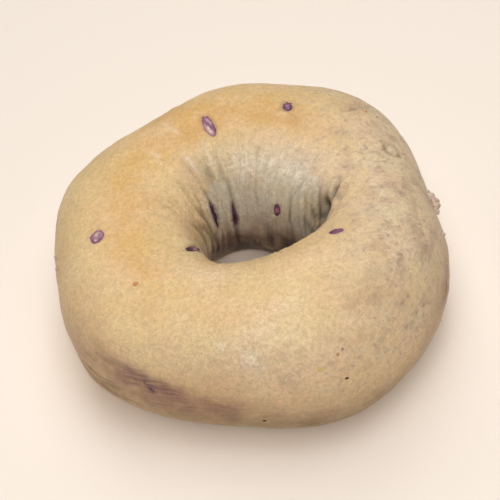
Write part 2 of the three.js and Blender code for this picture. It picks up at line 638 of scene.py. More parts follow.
class NodeSketch:
    """A material's node tree, drawn node by node."""

    def __init__(self, name: str) -> None:
        """Starts a material with its main shader.

        Args:
            name: the material's name.
        """
        self.material = bpy.data.materials.new(name)
        self.material.use_nodes = True
        self.tree = self.material.node_tree
        self.shader = self.tree.nodes["Principled BSDF"]
        self.place = self.add("ShaderNodeTexCoord").outputs["Object"]

    def add(self, kind: str, **settings: object) -> bpy.types.Node:
        """Adds a node.

        Args:
            kind: the kind of node.
            settings: the node's own settings, by name.

        Returns:
            The new node.
        """
        node = self.tree.nodes.new(kind)
        for name, value in settings.items():
            setattr(node, name, value)
        return node

    def feed(self, socket: bpy.types.NodeSocket, value: object) -> None:
        """Links a socket to an output, or sets it to a plain value.

        Args:
            socket: the input that is fed.
            value: an output, a colour or a number.
        """
        if isinstance(value, bpy.types.NodeSocket):
            self.tree.links.new(value, socket)
        elif isinstance(value, tuple):
            socket.default_value = (*value, 1.0)
        else:
            socket.default_value = value

    def noise(
        self, per_metre: float, detail: float = 2.0, roughness: float = 0.5, place: object = None
    ) -> bpy.types.NodeSocket:
        """Soft noise in space, from 0 to 1.

        Args:
            per_metre: how many bumps lie along a metre.
            detail: how many finer layers are added.
            roughness: how strong the finer layers are.
            place: where it is read, if not at the object's own coordinates.

        Returns:
            The noise's own output.
        """
        node = self.add("ShaderNodeTexNoise")
        self.feed(node.inputs["Vector"], place or self.place)
        self.feed(node.inputs["Scale"], per_metre)
        self.feed(node.inputs["Detail"], detail)
        self.feed(node.inputs["Roughness"], roughness)
        return node.outputs["Fac"]

    def combed(self, per_turn: float, stretch: float) -> bpy.types.NodeSocket:
        """Noise drawn out into fine lines that run from the hole outwards.

        Args:
            per_turn: how many lines lie along one radian round the ring.
            stretch: how fast the lines change along their length; less makes them longer.

        Returns:
            The noise's own output.
        """
        split = self.add("ShaderNodeSeparateXYZ")
        self.feed(split.inputs[0], self.place)
        level = self.add("ShaderNodeCombineXYZ")
        self.feed(level.inputs["X"], split.outputs["X"])
        self.feed(level.inputs["Y"], split.outputs["Y"])
        reach = self.add("ShaderNodeVectorMath", operation="LENGTH")
        self.feed(reach.inputs[0], level.outputs[0])
        heading = self.add("ShaderNodeVectorMath", operation="NORMALIZE")
        self.feed(heading.inputs[0], level.outputs[0])
        along = self.times(self.added(split.outputs["Z"], reach.outputs["Value"]), stretch)
        rise = self.add("ShaderNodeCombineXYZ")
        self.feed(rise.inputs["Z"], along)
        place = self.add("ShaderNodeVectorMath", operation="ADD")
        self.feed(place.inputs[0], heading.outputs[0])
        self.feed(place.inputs[1], rise.outputs[0])
        return self.noise(per_turn, 3.0, 0.6, place.outputs[0])

    def layered(self, per_metre: float, flatness: float) -> bpy.types.NodeSocket:
        """Noise flattened into thin level layers, as in dough that was rolled round.

        Args:
            per_metre: how many layers lie in a metre of height.
            flatness: how slowly the noise changes along a layer, as a share of how it does across.

        Returns:
            The noise's own output.
        """
        flat = self.add("ShaderNodeMapping")
        self.feed(flat.inputs["Vector"], self.place)
        flat.inputs["Scale"].default_value = (flatness, flatness, 1.0)
        return self.noise(per_metre, 3.0, 0.6, flat.outputs[0])

    def spread(self, value: object, given: Range, wanted: Range) -> bpy.types.NodeSocket:
        """Maps a value softly from one range to another, and holds it at the ends.

        Args:
            value: what is mapped.
            given: the two ends of its own range.
            wanted: what the two ends become.

        Returns:
            The mapped value.
        """
        node = self.add("ShaderNodeMapRange", interpolation_type="SMOOTHSTEP")
        for socket, number in zip(node.inputs, (value, *given, *wanted)):
            self.feed(socket, number)
        return node.outputs["Result"]

    def joined(self, kind: str, first: object, second: object) -> bpy.types.NodeSocket:
        """Joins two numbers.

        Args:
            kind: the kind of arithmetic.
            first: the first number or output.
            second: the second number or output.

        Returns:
            The result.
        """
        node = self.add("ShaderNodeMath", operation=kind)
        self.feed(node.inputs[0], first)
        self.feed(node.inputs[1], second)
        return node.outputs[0]

    def added(self, first: object, second: object) -> bpy.types.NodeSocket:
        """The sum of two numbers."""
        return self.joined("ADD", first, second)

    def times(self, first: object, second: object) -> bpy.types.NodeSocket:
        """The product of two numbers."""
        return self.joined("MULTIPLY", first, second)

    def less(self, value: object, share: object) -> bpy.types.NodeSocket:
        """A number with a share of it taken away."""
        return self.times(value, self.joined("SUBTRACT", 1.0, share))

    def scaled(self, colour: object, tone: object) -> bpy.types.NodeSocket:
        """Makes a colour lighter or darker.

        Args:
            colour: the colour.
            tone: what it is multiplied by.

        Returns:
            The new colour.
        """
        node = self.add("ShaderNodeVectorMath", operation="SCALE")
        self.feed(node.inputs[0], colour)
        self.feed(node.inputs["Scale"], tone)
        return node.outputs[0]

    def mix(
        self, share: object, first: object, second: object, kind: str = "MIX"
    ) -> bpy.types.NodeSocket:
        """Mixes two colours.

        Args:
            share: how much of the second there is, from 0 to 1.
            first: the first colour.
            second: the second colour.
            kind: the kind of mixing.

        Returns:
            The mixed colour.
        """
        node = self.add("ShaderNodeMix", data_type="RGBA", blend_type=kind)
        self.feed(node.inputs[0], share)
        self.feed(node.inputs[6], first)
        self.feed(node.inputs[7], second)
        return node.outputs[2]

    def painted(self, name: str) -> bpy.types.NodeSocket:
        """The amount that a mesh's own attribute gives at each point."""
        return self.add("ShaderNodeAttribute", attribute_name=name).outputs["Fac"]

    def bump(
        self, height: object, depth: float, strength: float, over: object = None
    ) -> bpy.types.NodeSocket:
        """A bumped normal.

        Args:
            height: the bumps, from 0 to 1.
            depth: how deep a full bump is, in metres.
            strength: how much of it shows.
            over: a bumped normal that this one lies on, if any.

        Returns:
            The normal.
        """
        node = self.add("ShaderNodeBump")
        self.feed(node.inputs["Strength"], strength)
        self.feed(node.inputs["Distance"], depth)
        self.feed(node.inputs["Height"], height)
        if over is not None:
            self.feed(node.inputs["Normal"], over)
        return node.outputs["Normal"]


class Weave:
    """The patterns in the crust that its colour, its tone and its relief all read."""

    def __init__(self, sketch: NodeSketch) -> None:
        """Draws the patterns, from the broadest to the finest.

        Args:
            sketch: the material that they are for.
        """
        self.broad = sketch.noise(42.0, 3.0)
        self.drift = sketch.noise(75.0)
        self.patchy = sketch.noise(150.0)
        self.blotched = sketch.noise(210.0, 3.0, 0.6)
        self.speckled = sketch.noise(520.0, 4.0, 0.68)
        self.mottle = sketch.noise(800.0, 3.0, 0.6)
        self.grit = sketch.noise(2300.0, 2.0, 0.6)
        self.combed = sketch.combed(38.0, 6.5)
        self.layered = sketch.layered(950.0, 0.14)


@dataclass(frozen=True)
class CrustFinish:
    """Boiled and baked skin: creamy tan, toasted gold on top, greyer on the right and in the hole, with
    painted shade and painted highlight.
    """

    cream: Colour = (0.76, 0.525, 0.265)
    pale: Colour = (0.83, 0.60, 0.335)
    gold: Colour = (0.75, 0.46, 0.175)
    amber: Colour = (0.60, 0.30, 0.085)
    cool: Colour = (0.765, 0.592, 0.395)
    washed: Colour = (0.65, 0.585, 0.47)
    # the brown of juice stains, also used as painted shade deep in the hole, in the tuck and low on the
    # front
    stain_and_shade: Colour = (0.40, 0.225, 0.145)
    juice: Colour = (0.19, 0.085, 0.10)
    # the pale of flour, also used as painted highlight
    bloom_and_highlight: Colour = (0.90, 0.77, 0.59)
    under: Colour = (0.47, 0.27, 0.11)
    freckle: Colour = (0.50, 0.335, 0.235)
    blush: Colour = (1.01, 0.982, 0.975)
    straw: Colour = (1.0, 1.005, 0.94)
    roughness: Range = (0.42, 0.56)
    dryness: float = 0.2
    gloss: float = 0.38
    glow: float = 0.08
    glow_depth: float = 0.0014
    glow_reach: Colour = (1.0, 0.55, 0.3)

    def material(self) -> bpy.types.Material:
        """Draws the finish, from its colours, its grain and the skin's own painted amounts.

        Returns:
            The new material.
        """
        sketch = NodeSketch("baked_crust")
        weave = Weave(sketch)
        shader = sketch.shader.inputs
        colour, tone = self.colour(sketch, weave), self.tone(sketch, weave)
        sketch.feed(shader["Base Color"], sketch.scaled(colour, tone))
        dry = sketch.times(sketch.painted("under"), self.dryness)
        rough = sketch.added(sketch.spread(weave.patchy, MIDDLE, self.roughness), dry)
        sketch.feed(shader["Roughness"], rough)
        sketch.feed(shader["Specular IOR Level"], self.gloss)
        sketch.feed(shader["Subsurface Weight"], self.glow)
        sketch.feed(shader["Subsurface Scale"], self.glow_depth)
        shader["Subsurface Radius"].default_value = self.glow_reach
        sketch.feed(shader["Normal"], self.relief(sketch, weave))
        return sketch.material

    def colour(self, sketch: NodeSketch, weave: Weave) -> bpy.types.NodeSocket:
        """Lays the skin's colours over each other, from the dough's own to juice and freckles; stains are
        partly painted shade, bloom partly painted highlight.

        Args:
            sketch: the material.
            weave: the patterns that break the colours up.

        Returns:
            The colour, before it is made lighter or darker.
        """
        uneven = sketch.spread(weave.patchy, MIDDLE, (0.72, 1.08))
        # pale streaks down the hole's lip, partly painted highlight
        pale_and_sheen_streaks = sketch.times(sketch.spread(weave.combed, (0.45, 0.66), (0.0, 1.5)), sketch.painted("pull"))
        bloom_and_highlight_share = sketch.joined("MAXIMUM", pale_and_sheen_streaks, sketch.spread(weave.mottle, MIDDLE, (0.5, 1.0)))
        layers = (
            ("cool", self.cool, uneven),
            ("toast", self.gold, uneven),
            ("ember", self.amber, sketch.spread(weave.mottle, CORE, (0.4, 1.2))),
            ("washed", self.washed, uneven),
            ("bloom_and_highlight", self.bloom_and_highlight, bloom_and_highlight_share),
            ("stain_and_shade", self.stain_and_shade, sketch.spread(weave.layered, MIDDLE, (0.82, 1.06))),
            ("juice", self.juice, sketch.spread(weave.layered, MIDDLE, (0.35, 1.25))),
            ("under", self.under, uneven),
        )
        colour = sketch.mix(sketch.spread(weave.broad, CORE, FULL), self.cream, self.pale)
        for name, tint, share in layers:
            colour = sketch.mix(sketch.times(sketch.painted(name), share), colour, tint)
        speckled = sketch.spread(weave.speckled, (0.52, 0.74), FULL)
        blotched = sketch.spread(weave.blotched, (0.46, 0.68), (0.0, 0.6))
        marked = sketch.times(sketch.added(speckled, blotched), sketch.painted("cool"))
        freckled = sketch.added(marked, sketch.times(speckled, 0.2))
        colour = sketch.mix(freckled, colour, self.freckle)
        cast = sketch.mix(sketch.spread(weave.drift, CORE, FULL), self.blush, self.straw)
        return sketch.mix(1.0, colour, cast, "MULTIPLY")

    def tone(self, sketch: NodeSketch, weave: Weave) -> bpy.types.NodeSocket:
        """How light or dark the skin is, from its grain and the painted shade in its furrows and its
        creases.

        Args:
            sketch: the material.
            weave: the patterns of its grain.

        Returns:
            The tone, about 1 where nothing darkens the skin.
        """
        mottled = sketch.spread(weave.mottle, (0.25, 0.75), (0.88, 1.09))
        gritty = sketch.spread(weave.grit, (0.2, 0.8), (0.88, 1.1))
        furrow_shade = sketch.times(sketch.spread(weave.combed, (0.3, 0.5), (0.1, 0.0)), sketch.painted("pull"))
        tone = sketch.less(sketch.times(mottled, gritty), furrow_shade)
        return sketch.less(tone, sketch.painted("shade"))

    def relief(self, sketch: NodeSketch, weave: Weave) -> bpy.types.NodeSocket:
        """The skin's fine relief: its grain, the furrows in the hole and the layers in its stains.

        Args:
            sketch: the material.
            weave: the patterns of the relief.

        Returns:
            The bumped normal.
        """
        leather = sketch.bump(weave.mottle, 0.00036, 0.55)
        leather = sketch.bump(weave.grit, 0.00026, 0.6, leather)
        combing = sketch.times(weave.combed, sketch.painted("pull"))
        leather = sketch.bump(combing, 0.0004, 0.55, leather)
        tucks = sketch.times(weave.layered, sketch.painted("stain_and_shade"))
        return sketch.bump(tucks, 0.0006, 0.5, leather)


@dataclass(frozen=True)
class BerryFinish:
    """A baked blueberry, from inky bare skin through wine and mauve to lilac under a veil of dough, the
    palest partly painted highlight.
    """

    ink: Colour = (0.045, 0.018, 0.038)
    plum: Colour = (0.10, 0.045, 0.09)
    wine: Colour = (0.235, 0.08, 0.145)
    mauve: Colour = (0.38, 0.20, 0.25)
    lilac_and_highlight: Colour = (0.72, 0.545, 0.425)
    roughness: Range = (0.34, 0.52)
    gloss: float = 0.36

    def material(self) -> bpy.types.Material:
        """Draws the finish from the berry's own painted tone.

        Returns:
            The new material.
        """
        sketch = NodeSketch("baked_blueberry")
        mottle = sketch.noise(1100.0, 3.0, 0.6)
        tone = sketch.added(sketch.painted("tone"), sketch.spread(mottle, (0.25, 0.75), (-0.09, 0.09)))
        ramp = sketch.add("ShaderNodeValToRGB")
        steps = ramp.color_ramp.elements
        for place, colour in ((0.2, self.plum), (0.42, self.wine), (0.7, self.mauve)):
            steps.new(place).color = (*colour, 1.0)
        # the lilac end stands partly for the veil of dough and partly for painted highlight
        steps[0].color, steps[-1].color = (*self.ink, 1.0), (*self.lilac_and_highlight, 1.0)
        sketch.feed(ramp.inputs[0], tone)
        shader = sketch.shader.inputs
        sketch.feed(shader["Base Color"], ramp.outputs["Color"])
        sketch.feed(shader["Roughness"], sketch.spread(mottle, MIDDLE, self.roughness))
        sketch.feed(shader["Specular IOR Level"], self.gloss)
        sketch.feed(shader["Normal"], sketch.bump(mottle, 0.00018, 0.5))
        return sketch.material


@dataclass(frozen=True)
class SpeckFinish:
    """Specks baked onto the skin, each of its own colour."""

    tone: Range = (0.8, 1.1)
    roughness: Range = (0.45, 0.65)

    def material(self) -> bpy.types.Material:
        """Draws the finish from each speck's own colour.

        Returns:
            The new material.
        """
        sketch = NodeSketch("baked_specks")
        own = sketch.add("ShaderNodeAttribute", attribute_name="tint").outputs["Color"]
        grit = sketch.noise(2500.0)
        shader = sketch.shader.inputs
        sketch.feed(shader["Base Color"], sketch.scaled(own, sketch.spread(grit, MIDDLE, self.tone)))
        sketch.feed(shader["Roughness"], sketch.spread(grit, MIDDLE, self.roughness))
        sketch.feed(shader["Normal"], sketch.bump(grit, 0.0001, 0.5))
        return sketch.material


@dataclass(frozen=True)
class ShredFinish:
    """Torn skin: rough, and pinkish in patches where juice has dried in it."""

    pink: Colour = (0.57, 0.41, 0.325)
    pale: Colour = (0.70, 0.555, 0.435)
    roughness: Range = (0.6, 0.8)

    def material(self) -> bpy.types.Material:
        """Draws the rough finish.

        Returns:
            The new material.
        """
        sketch = NodeSketch("torn_skin")
        mottle = sketch.noise(1300.0, 3.0, 0.6)
        shader = sketch.shader.inputs
        share = sketch.spread(mottle, CORE, FULL)
        sketch.feed(shader["Base Color"], sketch.mix(share, self.pink, self.pale))
        sketch.feed(shader["Roughness"], sketch.spread(mottle, MIDDLE, self.roughness))
        sketch.feed(shader["Normal"], sketch.bump(mottle, 0.0003, 0.8))
        return sketch.material


@dataclass(frozen=True)
class StageFinish:
    """The plain pale floor."""

    colour: Colour = (0.98, 0.87, 0.76)
    roughness: float = 0.85
    gloss: float = 0.2

    def material(self) -> bpy.types.Material:
        """Draws the matt floor.

        Returns:
            The new material.
        """
        sketch = NodeSketch("pale_floor")
        shader = sketch.shader.inputs
        sketch.feed(shader["Base Color"], self.colour)
        sketch.feed(shader["Roughness"], self.roughness)
        sketch.feed(shader["Specular IOR Level"], self.gloss)
        return sketch.material


# ---------------------------------------------------------------------------------------------------
# Meshes
# ---------------------------------------------------------------------------------------------------


def solid(name: str, corners: np.ndarray, faces: Faces, finish: bpy.types.Material) -> bpy.types.Object:
    """A smooth mesh object at the frame's origin.

    Args:
        name: the piece's name.
        corners: its vertices, in mm.
        faces: its faces, each anticlockwise from outside.
        finish: its material.

    Returns:
        The new object.
    """
    mesh = bpy.data.meshes.new(name)
    mesh.from_pydata((corners * MM).tolist(), [], faces)
    mesh.polygons.foreach_set("use_smooth", np.ones(len(mesh.polygons), bool))
    mesh.materials.append(finish)
    mesh.update()
    piece = bpy.data.objects.new(name, mesh)
    bpy.context.scene.collection.objects.link(piece)
    return piece


def capped_faces(rows: int, spokes: int) -> Faces:
    """The faces of a closed shape made of rings of points, with a single point at either end.

    Args:
        rows: how many rings of points lie between the two end points.
        spokes: how many points make up a ring.

    Returns:
        The faces. The end points are the first and the last vertex.
    """
    last = 1 + rows * spokes
    faces: Faces = []
    for k in range(spokes):
        here = [1 + row * spokes + k for row in range(rows)]
        there = [1 + row * spokes + (k + 1) % spokes for row in range(rows)]
        faces.append((0, here[0], there[0]))
        faces += [(here[r], here[r + 1], there[r + 1], there[r]) for r in range(rows - 1)]
        faces.append((there[-1], here[-1], last))
    return faces


def paint(piece: bpy.types.Object, name: str, amount: np.ndarray) -> None:
    """Stores an amount for each of a mesh's vertices.

    Args:
        piece: the mesh object.
        name: what the finish knows the amount by.
        amount: the amounts, in the order of the vertices.
    """
    layer = piece.data.attributes.new(name, "FLOAT", "POINT")
    layer.data.foreach_set("value", np.asarray(amount, np.float32).ravel())


def join_ride(piece: bpy.types.Object) -> bpy.types.Object:
    """Makes a piece move with the bagel.

    Args:
        piece: the piece.

    Returns:
        The same piece.
    """
    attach(piece, "root")
    return piece


@dataclass
class Crust:
    """The whole skin of the ring, as one closed surface with its relief in the mesh."""

    ring: DoughRing
    finish: bpy.types.Material
    lump_depth: float = 0.42
    pull_depth: float = 0.24
    pull_shade: float = 0.16
    under_grain: float = 0.16
    under_shade: float = 0.3
    foot_shade: float = 0.32
    # how much painted shade the skin takes at most
    darkest: float = 0.82
    near: float = 4.0  # how far above or below a berry, in mm, the skin still belongs to its spot
    bleed_reach: float = 0.9  # how far past a berry's edge its juice runs, in mm
    fold_steps: int = 8  # how many straight steps a fold takes from one of its spots to the next
    angle: np.ndarray = field(init=False)
    turn: np.ndarray = field(init=False)
    plain: np.ndarray = field(init=False)
    outward: np.ndarray = field(init=False)
    rise: np.ndarray = field(init=False)
    pull: np.ndarray = field(init=False)
    shade: np.ndarray = field(init=False)
    extra_juice: np.ndarray = field(init=False)
    extra_bloom_and_highlight: np.ndarray = field(init=False)
    worked: np.ndarray = field(init=False)
    piece: bpy.types.Object = field(init=False)

    def build(self) -> bpy.types.Object:
        """Works the plain ring's skin.

        Returns:
            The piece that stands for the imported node.
        """
        self.lay_out()
        self.swell()
        self.pull_into_hole()
        self.roughen_underside()
        for fold in FOLDS:
            self.crease(fold)
        for blister in BLISTERS:
            self.blister(blister)
        for berry in BERRIES:
            self.sink(berry)
        self.piece = self.surface()
        self.dress()
        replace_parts(join_ride(self.piece), self.ring.node)
        return self.piece

    def lay_out(self) -> None:
        """Sets up the grid, the plain skin's points and normals, and the amounts to be painted."""
        ring = self.ring
        angle, turn = np.broadcast_arrays(ring.angles(), ring.section_turns())
        self.angle, self.turn = np.degrees(angle), np.degrees(turn)
        self.plain = ring.place(angle, turn)
        _, _, self.outward = ring.tangents(angle, turn)
        self.rise = np.zeros(angle.shape)
        self.shade = np.zeros(angle.shape)
        self.extra_juice = np.zeros(angle.shape)
        self.extra_bloom_and_highlight = np.zeros(angle.shape)

    def grain(self, seed: int, size: float) -> np.ndarray:
        """Random bumps of about -1 to 1 over the plain skin, about a size in mm apart."""
        return Grain(seed).at(self.plain, size)

    def swell(self) -> None:
        """Adds the dough's own unevenness, from slow lumps to small dimples."""
        upper = 1.0 - 0.75 * hill(self.turn, UNDERSIDE, 50.0)
        lumps = self.grain(3, 17.0) + 0.45 * self.grain(5, 7.5)
        dimples = 0.2 * self.grain(8, 3.4) + 0.1 * self.grain(13, 1.7)
        self.rise += self.lump_depth * upper * (lumps + dimples)

    def pull_into_hole(self) -> None:
        """Adds the fine pleats where the skin is drawn down into the hole, with painted shade in their
        grooves.
        """
        inside = ease(98.0, 128.0, self.turn) * (1.0 - ease(205.0, 245.0, self.turn))
        angle = np.radians(self.angle + 4.0 * self.grain(21, 9.0))
        down = np.radians(self.turn)
        pleats = np.zeros(angle.shape)
        # each set's seed, how close its pleats are, how soon they end, their depth, and if they are sharp
        sets = ((34, 13.0, 1.6, 1.0, True), (55, 24.0, 2.4, 0.6, False), (89, 7.0, 1.0, 0.8, True))
        for seed, around, along, depth, sharp in sets:
            place = np.stack([around * np.cos(angle), around * np.sin(angle), along * down], axis=-1)
            height = Grain(seed).at(place)
            pleats += depth * (0.5 - np.abs(height) if sharp else height)
        pleats -= pleats.mean()
        self.rise += self.pull_depth * inside * pleats
        # painted shade in the grooves of the pleats
        self.shade += self.pull_shade * inside * ease(0.05, -0.9, pleats)
        lip = self.turn + 7.0 * self.grain(4181, 9.0)
        smooth = hill(self.angle, 50.0, 44.0) * ease(132.0, 156.0, self.turn)
        self.pull = ease(88.0, 124.0, lip) * ease(255.0, 215.0, self.turn) * (1.0 - 0.7 * smooth)

    def roughen_underside(self) -> None:
        """Gives the flat its matt, slightly pitted skin, as it comes off the oven's deck, with painted
        shade in the pits.
        """
        flat = ease(0.9, 0.1, self.plain[..., 2])
        pits = self.grain(144, 2.2) + 0.6 * self.grain(233, 1.2)
        self.rise -= self.under_grain * flat * ease(0.0, 0.9, pits)
        # painted shade in the pits
        self.shade += self.under_shade * flat * ease(0.1, 0.9, pits)

    def distance_along(self, path: tuple[Spot, ...]) -> tuple[np.ndarray, np.ndarray]:
        """How far each grid point is from a line on the skin, and how far along the line it lies.

        Args:
            path: the spots that the line runs through.

        Returns:
            The distance in mm, and the share of the line's length from 0 to 1.
        """
        knots = np.array(path)
        share = np.linspace(0.0, 1.0, self.fold_steps * (len(path) - 1) + 1)
        spots = [np.interp(share * (len(path) - 1), range(len(path)), part) for part in knots.T]
        line = self.ring.place(*np.radians(spots))
        best = np.full(self.rise.shape, np.inf)
        along = np.zeros(self.rise.shape)
        for k in range(len(line) - 1):
            step = line[k + 1] - line[k]
            gap = self.plain - line[k]
            part = np.clip((gap @ step) / (step @ step), 0.0, 1.0)
            distance = np.linalg.norm(gap - part[..., None] * step, axis=-1)
            nearer = distance < best
            best = np.where(nearer, distance, best)
            along = np.where(nearer, (k + part) / (len(line) - 1), along)
        return best, along

    def crease(self, fold: Fold) -> None:
        """Presses one fold into the skin, with its lips.

        Args:
            fold: which fold it is.
        """
        distance, along = self.distance_along(fold.path)
        distance = distance + 0.35 * fold.width * self.grain(377, 4.0)
        fade = ease(0.0, 0.22, along) * ease(1.0, 0.78, along) + 0.12
        groove = np.exp(-((distance / fold.width) ** 2))
        lips = np.exp(-(((distance - 2.1 * fold.width) / (1.1 * fold.width)) ** 2))
        self.rise += fade * (fold.lip * lips - fold.depth * groove)
        # painted shade along the groove
        self.shade += fold.shade * fade * np.exp(-((distance / (0.7 * fold.width)) ** 2))

    def blister(self, blister: Blister) -> None:
        """Raises or sinks one bubble.

        Args:
            blister: which bubble it is.
        """
        centre = self.ring.place(*np.radians(blister.spot))
        distance = np.linalg.norm(self.plain - centre, axis=-1) / blister.radius
        dome = np.where(distance < 1.0, (1.0 - distance**2) ** 2, 0.0)
        rim = np.exp(-(((distance - 1.0) / 0.22) ** 2)) * (0.7 + 0.6 * self.grain(610, 2.0))
        self.rise += blister.rise * dome - blister.rim * rim
        # painted shade in the crease round the rim, and a pale spot on top that is partly painted highlight
        self.shade += 0.5 * blister.rim * rim
        self.extra_bloom_and_highlight += blister.bloom_and_highlight * np.exp(-((distance * 1.1) ** 2))

    def sink(self, berry: Berry) -> None:
        """Opens the skin over one berry, and lets its juice bleed into the skin round it.

        Args:
            berry: which berry it is.
        """
        across, along, away = berry_plane(self.ring, berry, self.plain)
        half_length, half_width = 0.5 * berry.length, 0.5 * berry.width
        ripple = 1.0 + 0.16 * self.grain(987, 1.9)
        ratio = np.hypot(along / half_length, across / half_width) * ripple
        near = np.abs(away) < self.near
        pit = ease(1.3, 0.8, ratio) * near
        edge = np.exp(-(((ratio - 1.4) / 0.28) ** 2)) * near
        self.rise += 0.35 * berry.sink * edge - berry.sink * pit
        wide = np.hypot(along / (half_length + self.bleed_reach), across / (half_width + self.bleed_reach))
        self.extra_juice += berry.bleed * ease(1.2, 0.6, wide * ripple) * near

    def tinted(self, tints: tuple[Tint, ...]) -> np.ndarray:
        """Adds up a set of soft patches, and makes their edges ragged.

        Args:
            tints: the patches.

        Returns:
            Their amount at every grid point, from 0 to 1.
        """
        total = np.zeros(self.rise.shape)
        for tint in tints:
            ring = hill(self.angle, tint.spot[0], tint.ring_spread)
            total += tint.amount * ring * hill(self.turn, tint.spot[1], tint.section_spread)
        ragged = 1.0 + 0.55 * self.grain(1597, 8.0) + 0.35 * self.grain(2584, 3.0)
        return np.clip(total * ragged, 0.0, 1.0)

    def surface(self) -> bpy.types.Object:
        """Makes the worked skin's mesh, held level with the flat underneath.

        Returns:
            The closed piece.
        """
        points = self.plain + self.rise[..., None] * self.outward
        points[..., 2] = np.maximum(points[..., 2], 0.0)
        self.worked = points
        s, t = np.meshgrid(range(self.ring.stations), range(self.ring.turns), indexing="ij")
        s2, t2 = (s + 1) % self.ring.stations, (t + 1) % self.ring.turns
        corners = [(a * self.ring.turns + b).ravel() for a, b in ((s, t), (s2, t), (s2, t2), (s, t2))]
        faces = list(zip(*(c.tolist() for c in corners)))
        return solid("bagel_crust", points.reshape(-1, 3), faces, self.finish)

    def dress(self) -> None:
        """Paints the skin's amounts for its finish, painted shade and painted highlight among them."""
        height, turn = self.plain[..., 2], turned(self.turn, 0.0)
        under = np.maximum(ease(6.0, 0.0, height) * ease(-35.0, -80.0, turn), ease(1.2, 0.2, height))
        paint(self.piece, "toast", self.tinted(TOASTED))
        paint(self.piece, "ember", self.tinted(EMBERS))
        paint(self.piece, "pull", self.pull)
        paint(self.piece, "cool", self.tinted(COOLED))
        paint(self.piece, "washed", self.tinted(WASHED))
        paint(self.piece, "stain_and_shade", self.tinted(STAINS_AND_SHADE))
        paint(self.piece, "juice", np.clip(self.tinted(JUICED) + self.extra_juice, 0.0, 1.0))
        paint(self.piece, "bloom_and_highlight", np.clip(self.tinted(BLOOM_AND_HIGHLIGHT) + self.extra_bloom_and_highlight, 0.0, 1.0))
        # painted shade along the foot of the ring where it meets the floor, but not on the left, added to
        # the painted shade of creases, pits, pleats and patches
        low = ease(14.0, -30.0, turn) * ease(-110.0, -60.0, turn)
        foot = self.foot_shade * low * (1.0 - hill(self.angle, -166.0, 28.0))
        paint(self.piece, "shade", np.clip(self.shade + foot + self.tinted(SHADE_PATCHES), 0.0, self.darkest))
        paint(self.piece, "under", np.clip(under, 0.0, 1.0))


def berry_plane(ring: DoughRing, berry: Berry, points: np.ndarray) -> Triple:
    """Where points lie by a berry: across it, along it and away from the skin, in mm.

    Args:
        ring: the plain ring that the berry lies on.
        berry: which berry it is.
        points: the points, in mm.

    Returns:
        The three distances of every point.
    """
    centre = ring.place(*np.radians(berry.spot))
    side, front, out = berry_axes(ring, berry)
    gap = points - centre
    return gap @ side, gap @ front, gap @ out


def berry_axes(ring: DoughRing, berry: Berry) -> Triple:
    """A berry's own directions: across it, along it, and out of the skin.

    Args:
        ring: the plain ring that the berry lies on.
        berry: which berry it is.

    Returns:
        The three directions, each of length 1.
    """
    round_ring, round_section, out = ring.tangents(*np.radians(berry.spot))
    slant = math.radians(berry.slant)
    front = math.cos(slant) * round_ring + math.sin(slant) * round_section
    front = front - (front @ out) * out
    front = front / np.linalg.norm(front)
    return np.cross(front, out), front, out


